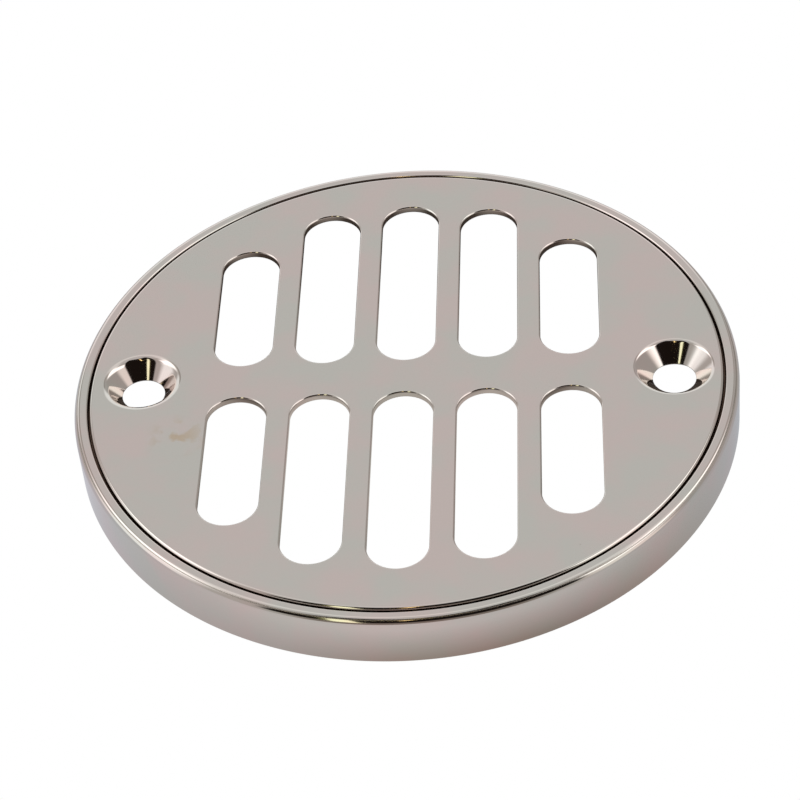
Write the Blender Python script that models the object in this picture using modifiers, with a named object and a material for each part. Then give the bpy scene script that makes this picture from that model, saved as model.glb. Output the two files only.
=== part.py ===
"""Floor drain grate: a trim ring with a loose slotted strainer plate lying in it.

The frame has +Z up and its origin at the middle of the ring's foot, on the floor. Y runs
along the slots, and the two screw holes lie close to X. All sizes are in metres.
"""
import math
from dataclasses import dataclass

import bpy

# Trim ring, called the crown
CROWN_RADIUS = 0.0540
CROWN_HEIGHT = 0.0088
SHOULDER_ROUND = 0.00115
LIP_ROUND = 0.0003
FOOT_ROUND = 0.0002
FOOT_CHAMFER = 0.0006
POCKET_RADIUS = 0.0518
LEDGE_RADIUS = 0.0503
LEDGE_THICKNESS = 0.0012
SKIRT_RADIUS = 0.0529

# Strainer plate, stamped from sheet
PLATE_RADIUS = 0.05145
PLATE_THICKNESS = 0.0012
PLATE_PROUD = 0.00015
PLATE_EDGE_ROUND = 0.0005
RESTING_GAP = 0.0003

# Slots: five columns, each with one slot on either side of the plate's middle bar
SLOT_PITCH = 0.01345
SLOT_WIDTH = 0.00966
SLOT_INNER_TIP = 0.0039
SLOT_OUTER_TIPS = {-2: 0.0326, -1: 0.04145, 0: 0.0430, 1: 0.04145, 2: 0.0326}
SLOT_EDGE_ROUND = 0.0002

HOLE_RADIUS = 0.0035
DIMPLE_TIP_WALL = 0.0003

# Fineness of the round shapes
TURN_STEPS = 72
HOLE_STEPS = 32
SHOULDER_STEPS = 6
SMALL_ROUND_STEPS = 3
SINK_LIP_STEPS = 5
FOOT_STEPS = 2
SLOT_SEGMENTS = 26
STAMPED_EDGE_SEGMENTS = 2
SMOOTH_BELOW_DEG = 30.0
STAMPED_EDGE_DEG = 80.0

# Levels that follow from the sizes above
PLATE_TOP = CROWN_HEIGHT + PLATE_PROUD
PLATE_UNDERSIDE = PLATE_TOP - PLATE_THICKNESS
LEDGE_TOP = PLATE_UNDERSIDE - RESTING_GAP
LEDGE_UNDERSIDE = LEDGE_TOP - LEDGE_THICKNESS
CUTTER_MARGIN = 0.0015

QUARTER_TURN = math.pi / 2
MERGE_DISTANCE = 0.00001


@dataclass(frozen=True)
class Sink:
    """One screw hole: sheet pressed down into a countersink with a rounded lip."""

    x: float
    y: float
    radius: float
    lip_round: float
    slope_deg: float

    @property
    def slope(self):
        """Slope of the cone below the horizontal, in radians."""
        return math.radians(self.slope_deg)

    @property
    def depth(self):
        """Depth of the hole's rim below the plate's top."""
        return (self.radius - HOLE_RADIUS) * math.tan(self.slope)


# The left sink is pressed deeper than the right one and sits a little further from the middle line
SINKS = {
    "left": Sink(x=-0.0432, y=0.00085, radius=0.00596, lip_round=0.0018, slope_deg=50.0),
    "right": Sink(x=0.0436, y=-0.00025, radius=0.00633, lip_round=0.0012, slope_deg=43.0),
}


def arc(centre, radius, start, end, steps):
    """Points (r, z) along an arc, with angles measured from +X towards +Z."""
    points = []
    for step in range(steps + 1):
        angle = start + (end - start) * step / steps
        points.append((centre[0] + radius * math.cos(angle), centre[1] + radius * math.sin(angle)))
    return points


def make_collection(name):
    """A new collection linked to the scene."""
    collection = bpy.data.collections.new(name)
    bpy.context.scene.collection.children.link(collection)
    return collection


def make_nickel(name, colour, roughness):
    """Polished nickel plating as a plain metallic material."""
    material = bpy.data.materials.new(name)
    material.use_nodes = True
    shader = material.node_tree.nodes["Principled BSDF"]
    shader.inputs["Base Color"].default_value = (*colour, 1.0)
    shader.inputs["Metallic"].default_value = 1.0
    shader.inputs["Roughness"].default_value = roughness
    return material


def turn(name, profile, collection, closed, steps=TURN_STEPS):
    """A solid of revolution about its own Z axis, from (r, z) points that run down its outer side."""
    mesh = bpy.data.meshes.new(name)
    edges = [(i, i + 1) for i in range(len(profile) - 1)]
    if closed:
        edges.append((len(profile) - 1, 0))
    mesh.from_pydata([(r, 0.0, z) for r, z in profile], edges, [])
    turned = bpy.data.objects.new(name, mesh)
    collection.objects.link(turned)
    screw = turned.modifiers.new("Turn", "SCREW")
    screw.axis = "Z"
    screw.angle = 2 * math.pi
    screw.steps = steps
    screw.render_steps = steps
    screw.use_merge_vertices = True
    screw.merge_threshold = MERGE_DISTANCE
    screw.use_smooth_shade = False
    return turned


def hide_as_tool(tool):
    """Mark an object as a shaping tool that isn't a part."""
    tool.hide_render = True
    tool.display_type = "WIRE"


def cut_with(target, label, collection, operation):
    """Add a Boolean modifier that uses every object of a collection."""
    boolean = target.modifiers.new(label, "BOOLEAN")
    boolean.operation = operation
    boolean.operand_type = "COLLECTION"
    boolean.collection = collection
    boolean.solver = "EXACT"


def shade_round(part):
    """Bake the modifiers into the mesh and smooth its round faces."""
    depsgraph = bpy.context.evaluated_depsgraph_get()
    mesh = bpy.data.meshes.new_from_object(part.evaluated_get(depsgraph))
    mesh.name = part.name
    part.modifiers.clear()
    part.data = mesh
    mesh.shade_smooth()
    mesh.set_sharp_from_angle(angle=math.radians(SMOOTH_BELOW_DEG))


def crown_profile():
    """Half section of the trim ring, from its top, down the outside and up the inside."""
    shoulder = (CROWN_RADIUS - SHOULDER_ROUND, CROWN_HEIGHT - SHOULDER_ROUND)
    foot = (CROWN_RADIUS - FOOT_ROUND, FOOT_ROUND)
    lip = (POCKET_RADIUS + LIP_ROUND, CROWN_HEIGHT - LIP_ROUND)
    profile = arc(shoulder, SHOULDER_ROUND, QUARTER_TURN, 0.0, SHOULDER_STEPS)
    profile += arc(foot, FOOT_ROUND, 0.0, -QUARTER_TURN, FOOT_STEPS)
    profile.append((SKIRT_RADIUS + FOOT_CHAMFER, 0.0))
    profile.append((SKIRT_RADIUS, FOOT_CHAMFER))
    profile.append((SKIRT_RADIUS, LEDGE_UNDERSIDE))
    profile.append((LEDGE_RADIUS, LEDGE_UNDERSIDE))
    profile.append((LEDGE_RADIUS, LEDGE_TOP))
    profile.append((POCKET_RADIUS, LEDGE_TOP))
    profile += arc(lip, LIP_ROUND, math.pi, QUARTER_TURN, SMALL_ROUND_STEPS)
    return profile


def plate_profile():
    """Half section of the blank disc, with its top at z = 0 and its rim rounded."""
    top = (PLATE_RADIUS - PLATE_EDGE_ROUND, -PLATE_EDGE_ROUND)
    profile = [(0.0, 0.0)]
    profile += arc(top, PLATE_EDGE_ROUND, QUARTER_TURN, 0.0, SMALL_ROUND_STEPS)
    profile.append((PLATE_RADIUS, -PLATE_THICKNESS))
    profile.append((0.0, -PLATE_THICKNESS))
    return profile


def dimple_profile(sink):
    """Half section of the sheet pressed down around a screw hole, solid before it is cut."""
    tip_depth = sink.depth + PLATE_THICKNESS * math.cos(sink.slope)
    tip_radius = HOLE_RADIUS + PLATE_THICKNESS * math.sin(sink.slope)
    outer_corner = sink.radius + PLATE_THICKNESS * math.tan(sink.slope / 2)
    buried = PLATE_THICKNESS / 2
    return [
        (0.0, -buried),
        (outer_corner + (PLATE_THICKNESS - buried) / math.tan(sink.slope), -buried),
        (tip_radius + DIMPLE_TIP_WALL, -tip_depth + DIMPLE_TIP_WALL * math.tan(sink.slope)),
        (tip_radius + DIMPLE_TIP_WALL, -tip_depth),
        (0.0, -tip_depth),
    ]


def sink_profile(sink):
    """Half section of the countersunk hole: rounded lip, cone, then the flared rim."""
    lip_radius = sink.radius + sink.lip_round * math.tan(sink.slope / 2)
    flare = PLATE_THICKNESS + CUTTER_MARGIN
    flare_radius = HOLE_RADIUS + flare * math.sin(sink.slope)
    flare_depth = sink.depth + flare * math.cos(sink.slope)
    profile = [(0.0, CUTTER_MARGIN), (lip_radius, CUTTER_MARGIN)]
    lip_centre = (lip_radius, -sink.lip_round)
    profile += arc(lip_centre, sink.lip_round, QUARTER_TURN, QUARTER_TURN + sink.slope, SINK_LIP_STEPS)
    profile.append((HOLE_RADIUS, -sink.depth))
    profile.append((flare_radius, -flare_depth))
    profile.append((0.0, -flare_depth))
    return profile


def add_slot_cutter(column, side, outer_tip, collection):
    """One slot's cutter: a cylinder whose far half is pulled out into a round-ended bar."""
    half_width = SLOT_WIDTH / 2
    bpy.ops.mesh.primitive_cylinder_add(
        vertices=SLOT_SEGMENTS,
        radius=half_width / math.cos(math.pi / SLOT_SEGMENTS),
        depth=PLATE_THICKNESS + 2 * CUTTER_MARGIN,
    )
    cutter = bpy.context.object
    cutter.name = f"slot_cutter_{column}_{'far' if side > 0 else 'near'}"
    stretch = (outer_tip - SLOT_INNER_TIP) / 2 - half_width
    for vertex in cutter.data.vertices:
        vertex.co.y += math.copysign(stretch, vertex.co.y)
    middle = side * (outer_tip + SLOT_INNER_TIP) / 2
    cutter.location = (column * SLOT_PITCH, middle, PLATE_TOP - PLATE_THICKNESS / 2)
    for owner in list(cutter.users_collection):
        owner.objects.unlink(cutter)
    collection.objects.link(cutter)
    hide_as_tool(cutter)


def build_crown(parts):
    """The trim ring: rounded head, outer wall, and the ledge that carries the plate."""
    crown = turn("crown_ring", crown_profile(), parts, closed=True)
    crown.data.materials.append(make_nickel("crown_nickel", (0.57, 0.54, 0.51), 0.12))
    shade_round(crown)
    return crown


def build_plate(parts, tools, pressings):
    """The strainer plate: blank disc, two pressed countersinks and ten slots."""
    plate = turn("grate_plate", plate_profile(), parts, closed=False)
    plate.location.z = PLATE_TOP
    plate.data.materials.append(make_nickel("plate_nickel", (0.55, 0.52, 0.49), 0.15))
    for label, sink in SINKS.items():
        dimple = turn(f"dimple_{label}", dimple_profile(sink), pressings, closed=False, steps=HOLE_STEPS)
        cutter = turn(f"sink_{label}", sink_profile(sink), tools, closed=False, steps=HOLE_STEPS)
        for tool in (dimple, cutter):
            tool.location = (sink.x, sink.y, PLATE_TOP)
            hide_as_tool(tool)
    for column, outer_tip in SLOT_OUTER_TIPS.items():
        for side in (-1, 1):
            add_slot_cutter(column, side, outer_tip, tools)
    cut_with(plate, "Pressings", pressings, "UNION")
    cut_with(plate, "Openings", tools, "DIFFERENCE")
    bevel = plate.modifiers.new("Stamped edges", "BEVEL")
    bevel.limit_method = "ANGLE"
    bevel.angle_limit = math.radians(STAMPED_EDGE_DEG)
    bevel.width = SLOT_EDGE_ROUND
    bevel.segments = STAMPED_EDGE_SEGMENTS
    bpy.context.view_layer.update()
    shade_round(plate)
    return plate


def main():
    """Clear the scene and build the two pieces."""
    for old in list(bpy.data.objects):
        bpy.data.objects.remove(old)
    parts = make_collection("floor_drain_grate")
    tools = make_collection("cutters")
    pressings = make_collection("pressings")
    build_crown(parts)
    build_plate(parts, tools, pressings)


main()
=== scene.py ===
"""Looks for the floor drain grate: a polished nickel trim ring with a slotted strainer plate.

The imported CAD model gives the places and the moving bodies. This script spins and rounds a fine
mesh for each of the two pieces, dresses them as nickel plated brass, and sets up a small studio.
"""

import logging
import math
from collections.abc import Callable
from dataclasses import dataclass, field
from enum import Enum

import bmesh
import bpy
from mathutils import Euler, Matrix, Vector

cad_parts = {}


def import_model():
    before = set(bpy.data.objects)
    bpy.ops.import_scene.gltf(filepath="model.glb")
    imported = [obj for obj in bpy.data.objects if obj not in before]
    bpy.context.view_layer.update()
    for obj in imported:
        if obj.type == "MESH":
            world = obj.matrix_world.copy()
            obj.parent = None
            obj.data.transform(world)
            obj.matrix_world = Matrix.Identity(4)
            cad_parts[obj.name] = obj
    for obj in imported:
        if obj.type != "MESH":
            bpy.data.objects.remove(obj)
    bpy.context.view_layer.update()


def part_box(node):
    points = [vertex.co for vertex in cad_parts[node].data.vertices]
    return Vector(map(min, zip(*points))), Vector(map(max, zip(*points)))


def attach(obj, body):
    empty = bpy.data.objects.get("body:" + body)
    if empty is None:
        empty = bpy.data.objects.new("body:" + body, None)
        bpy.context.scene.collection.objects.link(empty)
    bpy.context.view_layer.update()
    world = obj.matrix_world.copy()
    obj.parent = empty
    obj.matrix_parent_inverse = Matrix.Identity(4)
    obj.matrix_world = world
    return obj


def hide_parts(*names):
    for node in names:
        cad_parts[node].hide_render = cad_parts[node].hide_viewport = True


LOG = logging.getLogger("floor_drain_grate")
MM = 0.001
PICTURE_WIDTH_MM = 36.0
NEAREST_SEEN = 10.0 * MM
WELD_DISTANCE = 1e-7
FLAT_FACE_WEIGHT = 100
BUMP_DEPTH = 0.02 * MM
FLAT_MARGIN = 1.0 * MM
SINK_FLAT_MARGIN = 2.0 * MM
PAPER_WHITE = "FFFFFF"


class Row(Enum):
    """The two rows of slots, by the sign of Y."""

    NEAR = -1
    FAR = 1


class Zone(Enum):
    """Zones of a piece that have different finishes, by material index."""

    POLISHED = 0
    AS_PLATED = 1
    # Dark brown finish in the gap between plate and ring: painted shade.
    PAINTED_SHADE_GAP = 2


def linear(hex_colour: str, strength: float = 1.0) -> tuple[float, float, float, float]:
    """Turn an sRGB hex colour into linear light.

    Args:
        hex_colour: Six hex digits, such as "D6CEC8".
        strength: Factor on the light.

    Returns:
        Red, green, blue and an alpha of 1.
    """
    channels = []
    for start in (0, 2, 4):
        value = int(hex_colour[start : start + 2], 16) / 255
        low = value <= 0.04045
        light = value / 12.92 if low else ((value + 0.055) / 1.055) ** 2.4
        channels.append(light * strength)
    return (*channels, 1.0)


def per_metre(size_mm: float) -> float:
    """Texture scale that repeats a pattern at a real size in millimetres."""
    return 1.0 / (size_mm * MM)


def add_node(
    tree: bpy.types.NodeTree,
    kind: str,
    settings: dict | None = None,
    links: dict | None = None,
    values: dict | None = None,
) -> bpy.types.Node:
    """Add one shader node.

    Args:
        tree: The node tree that takes the node.
        kind: Node type, such as "ShaderNodeMath".
        settings: Attributes to set on the node.
        links: Input name or index to the output socket that feeds it.
        values: Input name or index to a plain value.

    Returns:
        The new node.
    """
    node = tree.nodes.new(kind)
    for name, value in (settings or {}).items():
        setattr(node, name, value)
    for key, value in (values or {}).items():
        node.inputs[key].default_value = value
    for key, socket in (links or {}).items():
        tree.links.new(socket, node.inputs[key])
    return node


@dataclass(frozen=True)
class Corner:
    """One corner of a section, with the radius that rounds it.

    The first number is a radius or an offset, the second a height, both in metres.
    """

    across: float
    up: float
    round: float = 0.0


def rounded_section(corners: list[Corner], closed: bool, steps: int = 10) -> list[tuple[float, float]]:
    """Round the corners of a section.

    Args:
        corners: The section's corners in order.
        closed: Whether the last corner joins the first.
        steps: Straight pieces in each rounded corner.

    Returns:
        Points (across, up) along the section.
    """
    points = []
    count = len(corners)
    for index, corner in enumerate(corners):
        here = Vector((corner.across, corner.up))
        at_end = not closed and index in (0, count - 1)
        if at_end or corner.round == 0.0:
            points.append((here.x, here.y))
            continue
        before = corners[index - 1]
        after = corners[(index + 1) % count]
        back = (Vector((before.across, before.up)) - here).normalized()
        ahead = (Vector((after.across, after.up)) - here).normalized()
        half_angle = back.angle(ahead) / 2
        reach = corner.round / math.tan(half_angle)
        centre = here + (back + ahead).normalized() * corner.round / math.sin(half_angle)
        start = here + back * reach - centre
        end = here + ahead * reach - centre
        for step in range(steps + 1):
            turned = start.normalized().slerp(end.normalized(), step / steps)
            point = centre + turned * corner.round
            points.append((point.x, point.y))
    return points


def finish_mesh(name: str, bm: bmesh.types.BMesh) -> bpy.types.Object:
    """Turn a bmesh into a smooth object whose flats stay flat in reflections.

    Args:
        name: Name of the object and its mesh.
        bm: The finished shape, which is freed here.

    Returns:
        The object, linked to the scene.
    """
    bmesh.ops.remove_doubles(bm, verts=bm.verts, dist=WELD_DISTANCE)
    bmesh.ops.recalc_face_normals(bm, faces=bm.faces)
    mesh = bpy.data.meshes.new(name)
    bm.to_mesh(mesh)
    bm.free()
    mesh.shade_smooth()
    piece = bpy.data.objects.new(name, mesh)
    bpy.context.scene.collection.objects.link(piece)
    weighted = piece.modifiers.new("Flat faces rule", "WEIGHTED_NORMAL")
    weighted.mode = "FACE_AREA"
    weighted.weight = FLAT_FACE_WEIGHT
    return piece


@dataclass(frozen=True)
class PolishedNickel:
    """Nickel plated brass, buffed to a mirror after plating.

    Nickel is a warm grey metal. Buffing leaves a mirror with very slight clouds of warmer and
    greener grey, faint hairlines, a few dust pits and the tan ghosts of dried water.
    """

    name: str = "polished_nickel_plated_brass_buffed"
    cool_tint: str = "D2D0C9"
    warm_tint: str = "DACDC8"
    stain_tint: str = "CDBDA8"
    pit_tint: str = "8A8078"
    roughness: float = 0.075
    stained_roughness: float = 0.13
    cloud_mm: float = 11.0
    cloud_limits: tuple[float, float] = (0.38, 0.62)
    hairline_mm: float = 0.35
    hairline_stretch: tuple[float, float, float] = (0.04, 1.0, 1.0)
    hairline_strength: float = 0.02
    pit_spacing_mm: float = 17.0
    pit_radius_mm: float = 0.16
    pit_strength: float = 0.8
    stain_centre: tuple[float, float, float] = (-0.0362, -0.0125, 0.009)
    stain_reach_mm: float = 6.0
    stain_patch_mm: float = 2.6
    stain_limits: tuple[float, float] = (0.50, 0.66)

    def make(self) -> bpy.types.Material:
        """Build the material.

        Returns:
            A node material that reads Object coordinates.
        """
        material = bpy.data.materials.new(self.name)
        material.use_nodes = True
        tree = material.node_tree
        shader = tree.nodes["Principled BSDF"]
        place = add_node(tree, "ShaderNodeTexCoord").outputs["Object"]
        clouded = self._clouds(tree, place)
        stain = self._stain_mask(tree, place)
        stained = add_node(
            tree,
            "ShaderNodeMix",
            {"data_type": "RGBA"},
            {"Factor": stain, "A": clouded},
            {"B": linear(self.stain_tint)},
        )
        pits = self._pit_mask(tree, place)
        pitted = add_node(
            tree,
            "ShaderNodeMix",
            {"data_type": "RGBA"},
            {"Factor": pits, "A": stained.outputs["Result"]},
            {"B": linear(self.pit_tint)},
        )
        rough = add_node(
            tree,
            "ShaderNodeMapRange",
            links={"Value": stain},
            values={"To Min": self.roughness, "To Max": self.stained_roughness},
        )
        tree.links.new(pitted.outputs["Result"], shader.inputs["Base Color"])
        tree.links.new(rough.outputs["Result"], shader.inputs["Roughness"])
        tree.links.new(self._hairlines(tree, place), shader.inputs["Normal"])
        shader.inputs["Metallic"].default_value = 1.0
        return material

    def _clouds(self, tree: bpy.types.NodeTree, place: bpy.types.NodeSocket) -> bpy.types.NodeSocket:
        """Clouds of slightly warmer and greener grey, left by the buffing wheel.

        Args:
            tree: The material's node tree.
            place: Object coordinates.

        Returns:
            The colour socket.
        """
        noise = add_node(
            tree,
            "ShaderNodeTexNoise",
            links={"Vector": place},
            values={"Scale": per_metre(self.cloud_mm), "Detail": 3.0, "Roughness": 0.55},
        )
        spread = add_node(
            tree,
            "ShaderNodeMapRange",
            links={"Value": noise.outputs["Fac"]},
            values={"From Min": self.cloud_limits[0], "From Max": self.cloud_limits[1]},
        )
        mix = add_node(
            tree,
            "ShaderNodeMix",
            {"data_type": "RGBA"},
            {"Factor": spread.outputs["Result"]},
            {"A": linear(self.cool_tint), "B": linear(self.warm_tint)},
        )
        return mix.outputs["Result"]

    def _stain_mask(self, tree: bpy.types.NodeTree, place: bpy.types.NodeSocket) -> bpy.types.NodeSocket:
        """Where dried water has left a faint tan ghost beside the left screw hole.

        Args:
            tree: The material's node tree.
            place: Object coordinates.

        Returns:
            A socket from 0, clean, to 1, stained.
        """
        offset = add_node(
            tree,
            "ShaderNodeVectorMath",
            {"operation": "DISTANCE"},
            {0: place},
            {1: self.stain_centre},
        )
        near = add_node(
            tree,
            "ShaderNodeMapRange",
            {"interpolation_type": "SMOOTHSTEP"},
            {"Value": offset.outputs["Value"]},
            {"From Max": self.stain_reach_mm * MM, "To Min": 1.0, "To Max": 0.0},
        )
        noise = add_node(
            tree,
            "ShaderNodeTexNoise",
            links={"Vector": place},
            values={"Scale": per_metre(self.stain_patch_mm), "Detail": 2.0},
        )
        patches = add_node(
            tree,
            "ShaderNodeMapRange",
            {"interpolation_type": "SMOOTHSTEP"},
            {"Value": noise.outputs["Fac"]},
            {"From Min": self.stain_limits[0], "From Max": self.stain_limits[1]},
        )
        both = add_node(
            tree,
            "ShaderNodeMath",
            {"operation": "MULTIPLY"},
            {0: near.outputs["Result"], 1: patches.outputs["Result"]},
        )
        return both.outputs["Value"]

    def _pit_mask(self, tree: bpy.types.NodeTree, place: bpy.types.NodeSocket) -> bpy.types.NodeSocket:
        """Single dust pits in the plating, far apart.

        Args:
            tree: The material's node tree.
            place: Object coordinates.

        Returns:
            A socket that is 1 in a pit.
        """
        scale = per_metre(self.pit_spacing_mm)
        cells = add_node(
            tree,
            "ShaderNodeTexVoronoi",
            links={"Vector": place},
            values={"Scale": scale},
        )
        pit = add_node(
            tree,
            "ShaderNodeMapRange",
            links={"Value": cells.outputs["Distance"]},
            values={
                "From Min": self.pit_radius_mm * MM * scale / 2,
                "From Max": self.pit_radius_mm * MM * scale,
                "To Min": self.pit_strength,
                "To Max": 0.0,
            },
        )
        return pit.outputs["Result"]

    def _hairlines(self, tree: bpy.types.NodeTree, place: bpy.types.NodeSocket) -> bpy.types.NodeSocket:
        """Very shallow hairlines from buffing or turning, drawn coarser than real ones so they show.

        Args:
            tree: The material's node tree.
            place: Object coordinates.

        Returns:
            The normal socket.
        """
        stretched = add_node(
            tree,
            "ShaderNodeMapping",
            links={"Vector": place},
            values={"Scale": self.hairline_stretch},
        )
        noise = add_node(
            tree,
            "ShaderNodeTexNoise",
            links={"Vector": stretched.outputs["Vector"]},
            values={"Scale": per_metre(self.hairline_mm), "Detail": 2.0},
        )
        bump = add_node(
            tree,
            "ShaderNodeBump",
            links={"Height": noise.outputs["Fac"]},
            values={"Strength": self.hairline_strength, "Distance": BUMP_DEPTH},
        )
        return bump.outputs["Normal"]


@dataclass(frozen=True)
class AsPlatedNickel:
    """Nickel plated brass as it leaves the bath, not buffed.

    Unbuffed plating keeps the grain of the stamped sheet and of the turned casting, so it looks
    like soft satin with cloudy darker patches. A dull dark brown copy of it for the narrow gap
    around the plate is painted shade between the plate and the ring.
    """

    name: str = "satin_nickel_plated_brass_as_plated"
    light_tint: str = "B9B2AA"
    dark_tint: str = "8F8880"
    roughness: float = 0.34
    patch_mm: float = 9.0
    grain_mm: float = 0.5
    grain_strength: float = 0.25

    def make(self) -> bpy.types.Material:
        """Build the material.

        Returns:
            A node material that reads Object coordinates.
        """
        material = bpy.data.materials.new(self.name)
        material.use_nodes = True
        tree = material.node_tree
        shader = tree.nodes["Principled BSDF"]
        place = add_node(tree, "ShaderNodeTexCoord").outputs["Object"]
        patches = add_node(
            tree,
            "ShaderNodeTexNoise",
            links={"Vector": place},
            values={"Scale": per_metre(self.patch_mm), "Detail": 5.0},
        )
        tint = add_node(
            tree,
            "ShaderNodeMix",
            {"data_type": "RGBA"},
            {"Factor": patches.outputs["Fac"]},
            {"A": linear(self.dark_tint), "B": linear(self.light_tint)},
        )
        grain = add_node(
            tree,
            "ShaderNodeTexNoise",
            links={"Vector": place},
            values={"Scale": per_metre(self.grain_mm), "Detail": 3.0},
        )
        bump = add_node(
            tree,
            "ShaderNodeBump",
            links={"Height": grain.outputs["Fac"]},
            values={"Strength": self.grain_strength, "Distance": BUMP_DEPTH},
        )
        tree.links.new(tint.outputs["Result"], shader.inputs["Base Color"])
        tree.links.new(bump.outputs["Normal"], shader.inputs["Normal"])
        shader.inputs["Roughness"].default_value = self.roughness
        shader.inputs["Metallic"].default_value = 1.0
        return material


def dress(
    piece: bpy.types.Object,
    finishes: tuple[bpy.types.Material, ...],
    choose: Callable[[bpy.types.MeshPolygon], Zone],
) -> None:
    """Give each zone of a piece its finish.

    Args:
        piece: The object to dress.
        finishes: The finishes in the order of the zones.
        choose: Function that says which zone a polygon belongs to.
    """
    for finish in finishes:
        piece.data.materials.append(finish)
    for polygon in piece.data.polygons:
        polygon.material_index = choose(polygon).value


@dataclass
class TrimRing:
    """The trim ring (crown): a rounded head, an outer wall and a ledge for the plate."""

    radius: float
    height: float
    pocket_radius: float = 51.8 * MM
    ledge_radius: float = 50.3 * MM
    skirt_radius: float = 52.9 * MM
    ledge_top: float = 7.45 * MM
    ledge_underside: float = 6.25 * MM
    shoulder: float = 1.15 * MM
    lip: float = 0.3 * MM
    foot: float = 0.2 * MM
    foot_chamfer: float = 0.6 * MM
    small_round: float = 0.12 * MM
    spin_steps: int = 362

    def section(self) -> list[tuple[float, float]]:
        """Half section of the ring, as (radius, height) points."""
        corners = [
            Corner(self.pocket_radius, self.height, self.lip),
            Corner(self.radius, self.height, self.shoulder),
            Corner(self.radius, 0.0, self.foot),
            Corner(self.skirt_radius + self.foot_chamfer, 0.0),
            Corner(self.skirt_radius, self.foot_chamfer),
            Corner(self.skirt_radius, self.ledge_underside, self.small_round),
            Corner(self.ledge_radius, self.ledge_underside, self.small_round),
            Corner(self.ledge_radius, self.ledge_top, self.small_round),
            Corner(self.pocket_radius, self.ledge_top, self.small_round),
        ]
        return rounded_section(corners, closed=True)

    def build(self) -> bpy.types.Object:
        """Spin the section into the ring.

        Returns:
            The ring, in place.
        """
        bm = bmesh.new()
        points = [bm.verts.new((r, 0.0, z)) for r, z in self.section()]
        edges = [bm.edges.new((points[i - 1], points[i])) for i in range(len(points))]
        bmesh.ops.spin(
            bm,
            geom=points + edges,
            cent=(0.0, 0.0, 0.0),
            axis=(0.0, 0.0, 1.0),
            angle=2 * math.pi,
            steps=self.spin_steps,
            use_merge=True,
        )
        return finish_mesh("trim_ring", bm)

    def zone(self, polygon: bpy.types.MeshPolygon) -> Zone:
        """Choose the finish of a face.

        Args:
            polygon: A face of the ring.

        Returns:
            The recess for the pocket around the plate, as plated for the inside and the foot.
        """
        reach = math.hypot(polygon.center.x, polygon.center.y)
        height = polygon.center.z
        if height > self.height - 0.5 * self.lip or reach > self.skirt_radius + self.foot_chamfer:
            return Zone.POLISHED
        in_pocket = reach < self.pocket_radius + self.small_round
        above_ledge = height > self.ledge_top - self.small_round
        return Zone.PAINTED_SHADE_GAP if in_pocket and above_ledge else Zone.AS_PLATED


@dataclass(frozen=True)
class Outline:
    """A round or round-ended outline in plan, which a section is carried around.

    It is a circle whose far and near halves are pulled apart along Y by twice the stretch. It has
    4k + 2 points, so that none lies on the line between the halves.
    """

    centre_x: float
    centre_y: float
    stretch: float = 0.0
    points: int = 66

    def loft(
        self, bm: bmesh.types.BMesh, section: list[tuple[float, float]]
    ) -> tuple[list[bmesh.types.BMEdge], list[bmesh.types.BMEdge]]:
        """Carry a section around the outline by extruding one loop from point to point.

        Args:
            bm: The mesh that takes the wall.
            section: Points (radius of the rounded ends, height) from first loop to last.

        Returns:
            The edges of the first loop and of the last loop.
        """
        radius, height = section[0]
        made = bmesh.ops.create_circle(
            bm,
            radius=radius / math.cos(math.pi / self.points),
            segments=self.points,
            matrix=Matrix.Translation((self.centre_x, self.centre_y, height)),
        )
        for direction, half in self._halves(made["verts"]):
            bmesh.ops.translate(bm, verts=half, vec=(0.0, direction * self.stretch, 0.0))
        first = list({edge for vert in made["verts"] for edge in vert.link_edges})
        loop = first
        for next_radius, next_height in section[1:]:
            grown = bmesh.ops.extrude_edge_only(bm, edges=loop)["geom"]
            points = [item for item in grown if isinstance(item, bmesh.types.BMVert)]
            loop = [item for item in grown if isinstance(item, bmesh.types.BMEdge)]
            ratio = next_radius / radius
            for direction, half in self._halves(points):
                to_arc = Matrix.Translation((-self.centre_x, -self.centre_y - direction * self.stretch, 0.0))
                bmesh.ops.scale(bm, verts=half, vec=(ratio, ratio, 1.0), space=to_arc)
            bmesh.ops.translate(bm, verts=points, vec=(0.0, 0.0, next_height - height))
            radius, height = next_radius, next_height
        return first, loop

    def _halves(self, points: list[bmesh.types.BMVert]) -> list[tuple[int, list[bmesh.types.BMVert]]]:
        """Split points into the near half (-1) and the far half (1)."""
        return [(way, [p for p in points if way * (p.co.y - self.centre_y) > 0]) for way in (-1, 1)]


@dataclass(frozen=True)
class Sink:
    """One screw hole: sheet pressed down into a countersink with a rounded lip."""

    x: float
    y: float
    radius: float
    lip: float
    slope: float


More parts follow.
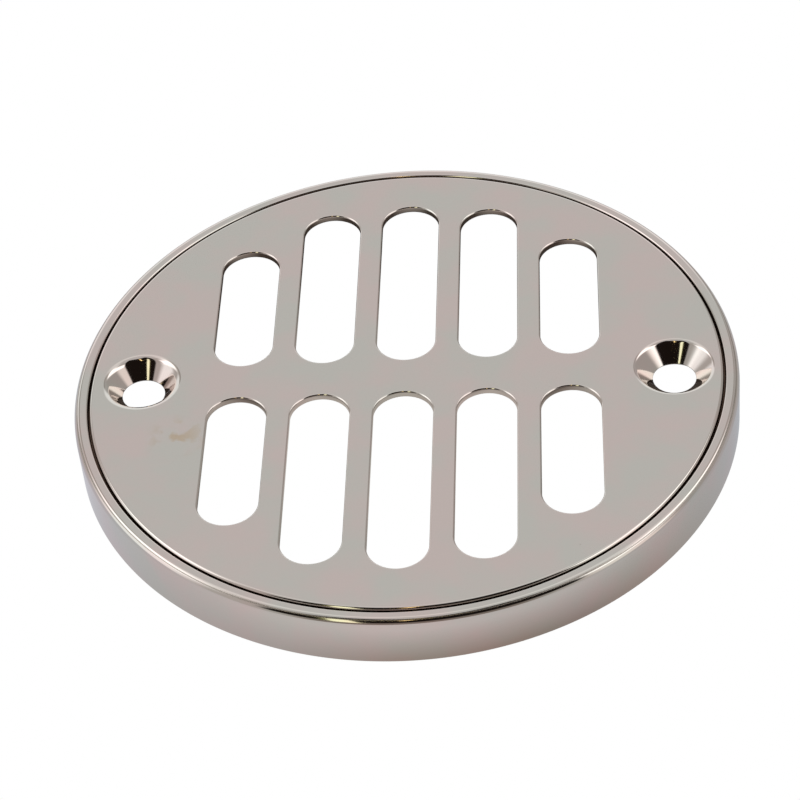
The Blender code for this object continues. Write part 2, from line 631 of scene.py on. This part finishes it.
@dataclass
class StrainerPlate:
    """The slotted plate: a stamped disc with ten slots and two pressed countersinks."""

    radius: float
    top: float
    thickness: float = 1.2 * MM
    rim_round: float = 0.5 * MM
    cut_round: float = 0.12 * MM
    slot_lip: float = 0.3 * MM
    slot_pitch: float = 13.45 * MM
    slot_width: float = 9.66 * MM
    slot_inner_tip: float = 3.9 * MM
    slot_outer_tips: dict[int, float] = field(
        default_factory=lambda: {-2: 32.6 * MM, -1: 41.45 * MM, 0: 43.0 * MM, 1: 41.45 * MM, 2: 32.6 * MM}
    )
    slot_under_round: float = 0.25 * MM
    sinks: tuple[Sink, ...] = (
        Sink(x=-43.2 * MM, y=0.85 * MM, radius=5.96 * MM, lip=1.8 * MM, slope=math.radians(50.0)),
        Sink(x=43.6 * MM, y=-0.25 * MM, radius=6.33 * MM, lip=1.2 * MM, slope=math.radians(43.0)),
    )
    hole_radius: float = 3.5 * MM
    hole_round: float = 0.08 * MM
    under_round: float = 0.3 * MM
    rim_points: int = 362
    hole_points: int = 130
    slot_points: int = 66

    def rim_section(self) -> list[tuple[float, float]]:
        """Section of the disc's rim, as (radius, height) points from top to underside."""
        bottom = self.top - self.thickness
        inner = self.radius - FLAT_MARGIN
        corners = [
            Corner(inner, self.top),
            Corner(self.radius, self.top, self.rim_round),
            Corner(self.radius, bottom, self.cut_round),
            Corner(inner, bottom),
        ]
        return rounded_section(corners, closed=False)[1:-1]

    def slot_section(self) -> list[tuple[float, float]]:
        """Section of a slot's edge, as (radius of the slot's end, height) points."""
        bottom = self.top - self.thickness
        half_width = self.slot_width / 2
        outer = half_width + FLAT_MARGIN
        corners = [
            Corner(outer, self.top),
            Corner(half_width, self.top, self.slot_lip),
            Corner(half_width, bottom, self.slot_under_round),
            Corner(outer, bottom),
        ]
        return rounded_section(corners, closed=False)[1:-1]

    def sink_section(self, sink: Sink) -> list[tuple[float, float]]:
        """Section of the sheet pressed into a countersink.

        Args:
            sink: The countersink.

        Returns:
            Points (radius, height) from the top, through the hole, to the underside.
        """
        bottom = self.top - self.thickness
        rounded_off = math.sqrt(2) * math.cos(sink.slope - math.pi / 4) - 1
        tip = self.hole_radius - self.hole_round * rounded_off
        depth = (sink.radius - tip) * math.tan(sink.slope)
        end_across = self.thickness * math.sin(sink.slope)
        end_down = self.thickness * math.cos(sink.slope)
        under_corner = sink.radius + self.thickness * math.tan(sink.slope / 2)
        far_out = under_corner + SINK_FLAT_MARGIN
        corners = [
            Corner(far_out, self.top),
            Corner(sink.radius, self.top, sink.lip),
            Corner(tip, self.top - depth, self.hole_round),
            Corner(tip + end_across, self.top - depth - end_down, self.cut_round),
            Corner(under_corner, bottom, self.under_round),
            Corner(far_out, bottom),
        ]
        return rounded_section(corners, closed=False)[1:-1]

    def build(self) -> bpy.types.Object:
        """Loft the rim, the slots and the countersinks, and fill the two flats between them.

        Returns:
            The plate, in place.
        """
        bm = bmesh.new()
        walls = [Outline(0.0, 0.0, points=self.rim_points).loft(bm, self.rim_section())]
        for sink in self.sinks:
            walls.append(Outline(sink.x, sink.y, points=self.hole_points).loft(bm, self.sink_section(sink)))
        for column, outer_tip in self.slot_outer_tips.items():
            for row in Row:
                walls.append(self._slot_outline(column, row, outer_tip).loft(bm, self.slot_section()))
        for end, facing in ((0, 1.0), (1, -1.0)):
            edges = [edge for wall in walls for edge in wall[end]]
            bmesh.ops.triangle_fill(bm, use_beauty=True, edges=edges, normal=(0.0, 0.0, facing))
        return finish_mesh("strainer_plate", bm)

    def _slot_outline(self, column: int, row: Row, outer_tip: float) -> Outline:
        """Outline of one slot.

        Args:
            column: Slot column, from -2 to 2.
            row: Near or far row.
            outer_tip: Distance of the slot's outer tip from the plate's middle line.

        Returns:
            The outline.
        """
        middle = row.value * (outer_tip + self.slot_inner_tip) / 2
        stretch = (outer_tip - self.slot_inner_tip - self.slot_width) / 2
        return Outline(column * self.slot_pitch, middle, stretch, self.slot_points)

    def zone(self, polygon: bpy.types.MeshPolygon) -> Zone:
        """Choose the finish of a face.

        Args:
            polygon: A face of the plate.

        Returns:
            The painted shade finish for the lower part of the rim, as plated for the underside and
            around the outside of a pressing.
        """
        bottom = self.top - self.thickness
        if polygon.normal.z < -0.5 and polygon.center.z < bottom + self.slot_under_round / 2:
            return Zone.AS_PLATED
        at_rim = math.hypot(polygon.center.x, polygon.center.y) > self.radius - self.cut_round
        return Zone.PAINTED_SHADE_GAP if at_rim and polygon.center.z < self.top - self.rim_round else Zone.POLISHED


@dataclass(frozen=True)
class SkyPatch:
    """One soft-edged patch of the studio: a light panel, a dark flag or a small lamp.

    Azimuth 0 is away from the camera (+Y) and grows towards +X. Angles are in degrees. Straight
    edges overhead lean, so the middle and the half width can grow with the tangent of the
    elevation.
    """

    name: str
    azimuth: float
    elevation: float
    half_width: float
    half_height: float
    soft: float
    colour: str
    strength: float
    lean: float = 0.0
    spread: float = 0.0


@dataclass(frozen=True)
class PaperPaintedShade:
    """Painted shade on the paper in mirrors, from the -X side (0) over the front to the +X side (1)."""

    beside_ring: tuple[tuple[float, str], ...] = (
        (0.0, "CACBD3"),
        (0.17, "C7C5C7"),
        (0.33, "BFBCBC"),
        (0.5, "B0A49F"),
        (0.68, "A39690"),
        (0.76, "A19895"),
        (0.84, "ACA39F"),
        (0.9, "B6B0AF"),
        (0.97, "BAB9BC"),
        (1.0, "B5B8BE"),
    )
    further_out: tuple[tuple[float, str], ...] = (
        (0.0, "CBCDD4"),
        (0.12, "D2CFD1"),
        (0.3, "DBD6D7"),
        (0.5, "DCD8D9"),
        (0.75, "D4D0D1"),
        (0.9, "C9C6C7"),
        (1.0, "BDBDC0"),
    )
    under_plate: tuple[tuple[float, str], ...] = (
        (0.0, "B9B2AD"),
        (0.34, "C9C3BE"),
        (0.6, "8E8781"),
        (0.76, "4A423D"),
        (1.0, "3A332F"),
    )


@dataclass
class Studio:
    """Pale floor, a soft panelled surround that the nickel mirrors, and the camera."""

    base_colour: str = "BDB8B4"
    patches: tuple[SkyPatch, ...] = (
        SkyPatch("far_panel", -4.0, 34.0, 26.0, 24.0, 5.0, "D9D8D8", 1.0),
        SkyPatch("far_low_glow", -14.0, 14.0, 34.0, 16.0, 6.0, "F8F8F9", 1.12),
        SkyPatch("far_low_shade", 44.0, 18.0, 22.0, 22.0, 6.0, "BDB9B8", 1.0),
        SkyPatch("far_gap_left", -32.0, 36.0, 4.0, 9.0, 2.5, "A8A4A0", 1.0),
        SkyPatch("far_gap_right", 23.0, 38.0, 3.5, 10.0, 2.5, "A8A4A0", 1.0),
        SkyPatch("far_bank", -4.0, 62.0, 70.0, 9.0, 5.0, "F6F5F4", 1.0),
        SkyPatch("overhead_panel", 0.0, 84.0, 181.0, 14.0, 8.0, "D9D8D8", 0.95),
        SkyPatch("left_wall", -95.0, 14.0, 42.0, 26.0, 8.0, "C3BFBC", 1.0),
        SkyPatch("left_softbox", -90.0, 22.0, 20.0, 20.0, 10.0, "FFFFFF", 1.2),
        SkyPatch("left_softbox_high", -74.0, 47.0, 27.0, 11.0, 7.0, "FFFFFF", 1.9),
        SkyPatch("right_wall", 70.0, 12.0, 34.0, 22.0, 8.0, "B4B0AD", 1.0),
        SkyPatch("right_glow", 109.0, 24.0, 15.0, 20.0, 8.0, "FDF6F1", 1.05),
        SkyPatch("right_softbox_high", 80.0, 49.0, 38.0, 11.0, 5.0, "FFFEFD", 1.8),
        SkyPatch("dark_flag", 176.0, 53.0, 46.0, 30.0, 3.0, "1C1613", 1.0, spread=10.0),
        SkyPatch("flag_foot", 176.5, 13.0, 36.0, 12.0, 8.0, "887D76", 1.0),
        SkyPatch("green_lamp_fringe", -161.5, 46.0, 3.4, 20.0, 1.2, "77734A", 1.0, lean=10.7),
        SkyPatch("green_lamp", -165.4, 46.0, 4.6, 22.0, 1.2, "FFFDD6", 1.45, lean=10.7),
        SkyPatch("gold_lamp", -176.0, 68.0, 2.4, 12.0, 0.8, "FFE2A0", 2.4),
    )
    tones: PaperPaintedShade = PaperPaintedShade()
    steepest_lean: float = 6.0
    floor_size: float = 6.0
    shaded_reach: float = 53.0 * MM
    near_reach: float = 54.5 * MM
    far_reach: float = 60.5 * MM
    camera_azimuth: float = 5.797
    camera_elevation: float = 42.82
    camera_roll: float = 6.09
    camera_distance: float = 457.3 * MM
    camera_aim: tuple[float, float, float] = (-0.562 * MM, -5.853 * MM, 8.95 * MM)
    focal_length_mm: float = 128.05

    def build(self) -> None:
        """Make the floor, the surround and the camera."""
        self._make_floor()
        self._make_surround()
        self._make_camera()
        bpy.context.scene.view_settings.view_transform = "Standard"

    def _make_floor(self) -> None:
        """Lay the pale floor: white to look at, and shaded under and around the ring in mirrors."""
        bm = bmesh.new()
        bmesh.ops.create_grid(bm, x_segments=1, y_segments=1, size=self.floor_size / 2)
        mesh = bpy.data.meshes.new("floor")
        bm.to_mesh(mesh)
        bm.free()
        floor = bpy.data.objects.new("floor", mesh)
        bpy.context.scene.collection.objects.link(floor)
        material = bpy.data.materials.new("white_studio_paper")
        material.use_nodes = True
        tree = material.node_tree
        tree.nodes.clear()
        # In mirrors the paper shows painted shade, dark under the plate and beside the ring; the camera sees
        # plain white.
        shade = self._paper_shade(tree)
        path = add_node(tree, "ShaderNodeLightPath")
        seen = add_node(
            tree,
            "ShaderNodeMix",
            {"data_type": "RGBA"},
            {"Factor": path.outputs["Is Camera Ray"], "A": shade},
            {"B": linear(PAPER_WHITE)},
        )
        glow = add_node(tree, "ShaderNodeEmission", links={"Color": seen.outputs["Result"]})
        add_node(tree, "ShaderNodeOutputMaterial", links={"Surface": glow.outputs["Emission"]})
        mesh.materials.append(material)

    def _paper_shade(self, tree: bpy.types.NodeTree) -> bpy.types.NodeSocket:
        """Paper as the nickel sees it, with painted shade: dark under the plate, shaded by the ring, paler
        further out.

        Args:
            tree: The paper's node tree.

        Returns:
            The colour socket.
        """
        place = add_node(tree, "ShaderNodeTexCoord").outputs["Object"]
        reach = add_node(tree, "ShaderNodeVectorMath", {"operation": "LENGTH"}, {0: place}).outputs["Value"]
        axes = add_node(tree, "ShaderNodeSeparateXYZ", links={"Vector": place})
        sideways = add_node(tree, "ShaderNodeMath", {"operation": "DIVIDE"}, {0: axes.outputs["X"], 1: reach})
        across = add_node(
            tree,
            "ShaderNodeMapRange",
            links={"Value": sideways.outputs["Value"]},
            values={"From Min": -1.0, "From Max": 1.0},
        ).outputs["Result"]
        outwards = add_node(
            tree,
            "ShaderNodeMapRange",
            links={"Value": reach},
            values={"From Min": self.near_reach, "From Max": self.far_reach},
        ).outputs["Result"]
        inwards = add_node(
            tree,
            "ShaderNodeMapRange",
            links={"Value": reach},
            values={"From Max": self.shaded_reach},
        ).outputs["Result"]
        outside = add_node(
            tree,
            "ShaderNodeMix",
            {"data_type": "RGBA"},
            {
                "Factor": outwards,
                "A": self._tone_ramp(tree, self.tones.beside_ring, across),
                "B": self._tone_ramp(tree, self.tones.further_out, across),
            },
        )
        is_under = add_node(
            tree, "ShaderNodeMath", {"operation": "LESS_THAN"}, {0: reach}, {1: self.shaded_reach}
        )
        whole = add_node(
            tree,
            "ShaderNodeMix",
            {"data_type": "RGBA"},
            {
                "Factor": is_under.outputs["Value"],
                "A": outside.outputs["Result"],
                "B": self._tone_ramp(tree, self.tones.under_plate, inwards),
            },
        )
        return whole.outputs["Result"]

    def _tone_ramp(
        self, tree: bpy.types.NodeTree, tones: tuple[tuple[float, str], ...], along: bpy.types.NodeSocket
    ) -> bpy.types.NodeSocket:
        """Colour ramp through named tones.

        Args:
            tree: The node tree that takes the ramp.
            tones: Positions from 0 to 1 with their hex colours, in order.
            along: Socket that runs from 0 to 1.

        Returns:
            The colour socket.
        """
        ramp = add_node(tree, "ShaderNodeValToRGB", links={"Fac": along})
        stops = ramp.color_ramp.elements
        stops[0].position, stops[0].color = tones[0][0], linear(tones[0][1])
        stops[1].position, stops[1].color = tones[-1][0], linear(tones[-1][1])
        for position, tone in tones[1:-1]:
            stops.new(position).color = linear(tone)
        return ramp.outputs["Color"]

    def _make_surround(self) -> None:
        """Paint the studio's panels, flags and lamps on the surround."""
        world = bpy.data.worlds.new("studio_surround")
        bpy.context.scene.world = world
        world.use_nodes = True
        tree = world.node_tree
        tree.nodes.clear()
        direction = add_node(tree, "ShaderNodeTexCoord").outputs["Generated"]
        axes = add_node(tree, "ShaderNodeSeparateXYZ", links={"Vector": direction})
        azimuth = add_node(
            tree, "ShaderNodeMath", {"operation": "ARCTAN2"}, {0: axes.outputs["X"], 1: axes.outputs["Y"]}
        )
        elevation = add_node(tree, "ShaderNodeMath", {"operation": "ARCSINE"}, {0: axes.outputs["Z"]})
        light = add_node(tree, "ShaderNodeRGB")
        light.outputs[0].default_value = linear(self.base_colour)
        socket = light.outputs[0]
        tangent = add_node(tree, "ShaderNodeMath", {"operation": "TANGENT"}, {0: elevation.outputs[0]})
        steep = add_node(
            tree, "ShaderNodeMath", {"operation": "MINIMUM"}, {0: tangent.outputs[0]}, {1: self.steepest_lean}
        )
        angles = (azimuth.outputs[0], elevation.outputs[0], steep.outputs[0])
        for patch in self.patches:
            socket = self._add_patch(tree, patch, *angles, socket)
        path = add_node(tree, "ShaderNodeLightPath")
        seen = add_node(
            tree,
            "ShaderNodeMix",
            {"data_type": "RGBA"},
            {"Factor": path.outputs["Is Camera Ray"], "A": socket},
            {"B": linear(PAPER_WHITE)},
        )
        background = add_node(tree, "ShaderNodeBackground", links={"Color": seen.outputs["Result"]})
        add_node(tree, "ShaderNodeOutputWorld", links={"Surface": background.outputs["Background"]})

    def _add_patch(
        self,
        tree: bpy.types.NodeTree,
        patch: SkyPatch,
        azimuth: bpy.types.NodeSocket,
        elevation: bpy.types.NodeSocket,
        steep: bpy.types.NodeSocket,
        below: bpy.types.NodeSocket,
    ) -> bpy.types.NodeSocket:
        """Lay one patch over the surround so far.

        Args:
            tree: The world's node tree.
            patch: The patch to add.
            azimuth: Socket with the azimuth in radians.
            elevation: Socket with the elevation in radians.
            steep: Socket with the tangent of the elevation, held below a limit.
            below: Colour socket of the surround so far.

        Returns:
            The colour socket with the patch on top.
        """
        masks = []
        spans = (
            (azimuth, patch.azimuth, patch.half_width, patch.lean, patch.spread),
            (elevation, patch.elevation, patch.half_height, 0.0, 0.0),
        )
        for angle, middle, half, lean, spread in spans:
            leant = add_node(
                tree,
                "ShaderNodeMath",
                {"operation": "MULTIPLY_ADD"},
                {0: steep, 2: angle},
                {1: -math.radians(lean)},
            )
            offset = add_node(
                tree,
                "ShaderNodeMath",
                {"operation": "SUBTRACT"},
                {0: leant.outputs[0]},
                {1: math.radians(middle)},
            )
            wrapped = add_node(
                tree,
                "ShaderNodeMath",
                {"operation": "WRAP"},
                {0: offset.outputs[0]},
                {1: math.pi, 2: -math.pi},
            )
            reach = add_node(tree, "ShaderNodeMath", {"operation": "ABSOLUTE"}, {0: wrapped.outputs[0]})
            size = add_node(
                tree,
                "ShaderNodeMath",
                {"operation": "MULTIPLY_ADD"},
                {0: steep, 2: reach.outputs[0]},
                {1: -math.radians(spread)},
            )
            mask = add_node(
                tree,
                "ShaderNodeMapRange",
                {"interpolation_type": "SMOOTHSTEP"},
                {"Value": size.outputs[0]},
                {
                    "From Min": math.radians(half - patch.soft),
                    "From Max": math.radians(half + patch.soft),
                    "To Min": 1.0,
                    "To Max": 0.0,
                },
            )
            masks.append(mask.outputs["Result"])
        both = add_node(tree, "ShaderNodeMath", {"operation": "MULTIPLY"}, {0: masks[0], 1: masks[1]})
        mix = add_node(
            tree,
            "ShaderNodeMix",
            {"data_type": "RGBA"},
            {"Factor": both.outputs[0], "A": below},
            {"B": linear(patch.colour, patch.strength)},
        )
        mix.label = patch.name
        return mix.outputs["Result"]

    def _make_camera(self) -> None:
        """Stand the camera in front of the ring, looking down and slightly rolled."""
        azimuth = math.radians(self.camera_azimuth)
        elevation = math.radians(self.camera_elevation)
        aim = Vector(self.camera_aim)
        level_reach = math.cos(elevation)
        towards = Vector(
            (level_reach * math.sin(azimuth), -level_reach * math.cos(azimuth), math.sin(elevation))
        )
        data = bpy.data.cameras.new("camera")
        data.lens = self.focal_length_mm
        data.sensor_width = PICTURE_WIDTH_MM
        data.clip_start = NEAREST_SEEN
        camera = bpy.data.objects.new("camera", data)
        camera.location = aim + towards * self.camera_distance
        level = Euler((math.pi / 2 - elevation, 0.0, azimuth)).to_matrix()
        camera.rotation_euler = (level @ Matrix.Rotation(-math.radians(self.camera_roll), 3, "Z")).to_euler()
        bpy.context.scene.collection.objects.link(camera)
        bpy.context.scene.camera = camera


def main() -> None:
    """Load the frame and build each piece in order."""
    logging.basicConfig(level=logging.INFO)
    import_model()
    sheet = PolishedNickel().make()
    turned = PolishedNickel(
        name="polished_nickel_plated_brass_turned",
        hairline_mm=0.6,
        hairline_stretch=(0.02, 0.02, 1.0),
        hairline_strength=0.035,
    ).make()
    underside = AsPlatedNickel().make()
    # Dark brown copy of the as-plated finish for the gap around the plate: painted shade.
    recess = AsPlatedNickel(
        name="nickel_plated_brass_gap_painted_shade",
        light_tint="7E685A",
        dark_tint="4C3A31",
        roughness=0.42,
    ).make()

    ring_low, ring_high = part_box("crown_ring")
    ring = TrimRing(radius=ring_high.x, height=ring_high.z)
    ring_piece = ring.build()
    dress(ring_piece, (turned, underside, recess), ring.zone)
    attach(ring_piece, "crown")
    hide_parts("crown_ring")
    LOG.info("%s: %d faces, foot at %.4f m", ring_piece.name, len(ring_piece.data.polygons), ring_low.z)

    plate_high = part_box("grate_plate")[1]
    plate = StrainerPlate(radius=plate_high.x, top=plate_high.z)
    plate_piece = plate.build()
    dress(plate_piece, (sheet, underside, recess), plate.zone)
    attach(plate_piece, "grate")
    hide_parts("grate_plate")
    LOG.info("%s: %d faces", plate_piece.name, len(plate_piece.data.polygons))

    Studio().build()


if __name__ == "__main__":
    main()
